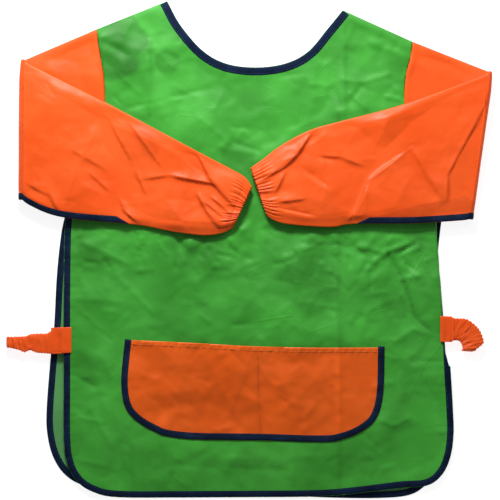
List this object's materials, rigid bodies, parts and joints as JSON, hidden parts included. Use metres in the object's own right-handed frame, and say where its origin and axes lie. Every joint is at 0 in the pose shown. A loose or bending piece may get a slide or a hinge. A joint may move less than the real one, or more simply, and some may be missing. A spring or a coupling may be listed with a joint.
{
  "type": "artist smock apron",
  "caption": "Child's nylon artist smock with folded long sleeves, gathered cuffs, a front pocket with compartments and elastic side straps, laid flat.",
  "frame": {"origin": "on the table under the middle of the back panel, at the underside of the cloth", "axes": "+Z out of the front of the smock, which lies on its back; +Y towards the neck; +X towards the right-hand side of someone looking at the front"},
  "size_m": [0.5882, 0.6017, 0.018],
  "materials": {
    "green_nylon": "satin",
    "orange_nylon": "satin",
    "pocket_nylon": "satin",
    "navy_tape": "matte",
    "white_elastic": "matte",
    "sewing_thread": "matte"
  },
  "bodies": {
    "root": {"front_panel": "green_nylon", "back_panel": "green_nylon", "front_neck_binding": "navy_tape", "back_neck_binding": "navy_tape", "front_edge_binding": "navy_tape", "back_edge_binding": "navy_tape", "pocket_panel": "pocket_nylon", "pocket_top_hem": "pocket_nylon", "pocket_binding": "navy_tape", "pocket_divider_stitch": "sewing_thread", "left_shoulder_seam": "green_nylon", "left_armhole_seam": "orange_nylon", "left_upper_sleeve": "orange_nylon", "left_upper_binding_front": "navy_tape", "left_upper_binding_back": "navy_tape", "left_front_strap_tab": "orange_nylon", "left_front_strap_casing": "orange_nylon", "left_front_strap_elastic": "white_elastic", "left_back_strap_tab": "orange_nylon", "left_back_strap_casing": "orange_nylon", "left_back_strap_elastic": "white_elastic", "right_shoulder_seam": "green_nylon", "right_armhole_seam": "orange_nylon", "right_upper_sleeve": "orange_nylon", "right_upper_binding_front": "navy_tape", "right_upper_binding_back": "navy_tape", "right_front_strap_tab": "orange_nylon", "right_front_strap_casing": "orange_nylon", "right_front_strap_elastic": "white_elastic", "right_back_strap_tab": "orange_nylon", "right_back_strap_casing": "orange_nylon", "right_back_strap_elastic": "white_elastic"},
    "left_forearm": {"left_forearm_sleeve": "orange_nylon", "left_forearm_binding": "navy_tape", "left_cuff_casing": "orange_nylon", "left_cuff_elastic": "white_elastic"},
    "left_strap_end": {"left_strap_tip": "orange_nylon"},
    "right_forearm": {"right_forearm_sleeve": "orange_nylon", "right_forearm_binding": "navy_tape", "right_cuff_casing": "orange_nylon", "right_cuff_elastic": "white_elastic"},
    "right_strap_end": {"right_strap_tip": "orange_nylon"}
  },
  "joints": [
    {"name": "left_sleeve_unfold", "type": "hinge", "parent": "root", "child": "left_forearm", "pos_m": [-0.283, 0.228, 0.0091], "axis": [-0.0059, -1, 0], "range_deg": [0, 180]},
    {"name": "right_sleeve_unfold", "type": "hinge", "parent": "root", "child": "right_forearm", "pos_m": [0.287, 0.213, 0.0091], "axis": [0.1391, 0.9903, 0], "range_deg": [0, 180]},
    {"name": "left_strap_stretch", "type": "slide", "parent": "root", "child": "left_strap_end", "axis": [-1, 0, 0], "range_m": [0, 0.03], "stiffness_N_per_m": 60, "deforming": ["left_front_strap_casing", "left_front_strap_elastic", "left_back_strap_casing", "left_back_strap_elastic"]},
    {"name": "right_strap_stretch", "type": "slide", "parent": "root", "child": "right_strap_end", "axis": [0.6, -0.8, 0], "range_m": [0, 0.03], "stiffness_N_per_m": 60, "deforming": ["right_front_strap_casing", "right_front_strap_elastic", "right_back_strap_casing", "right_back_strap_elastic"]}
  ]
}
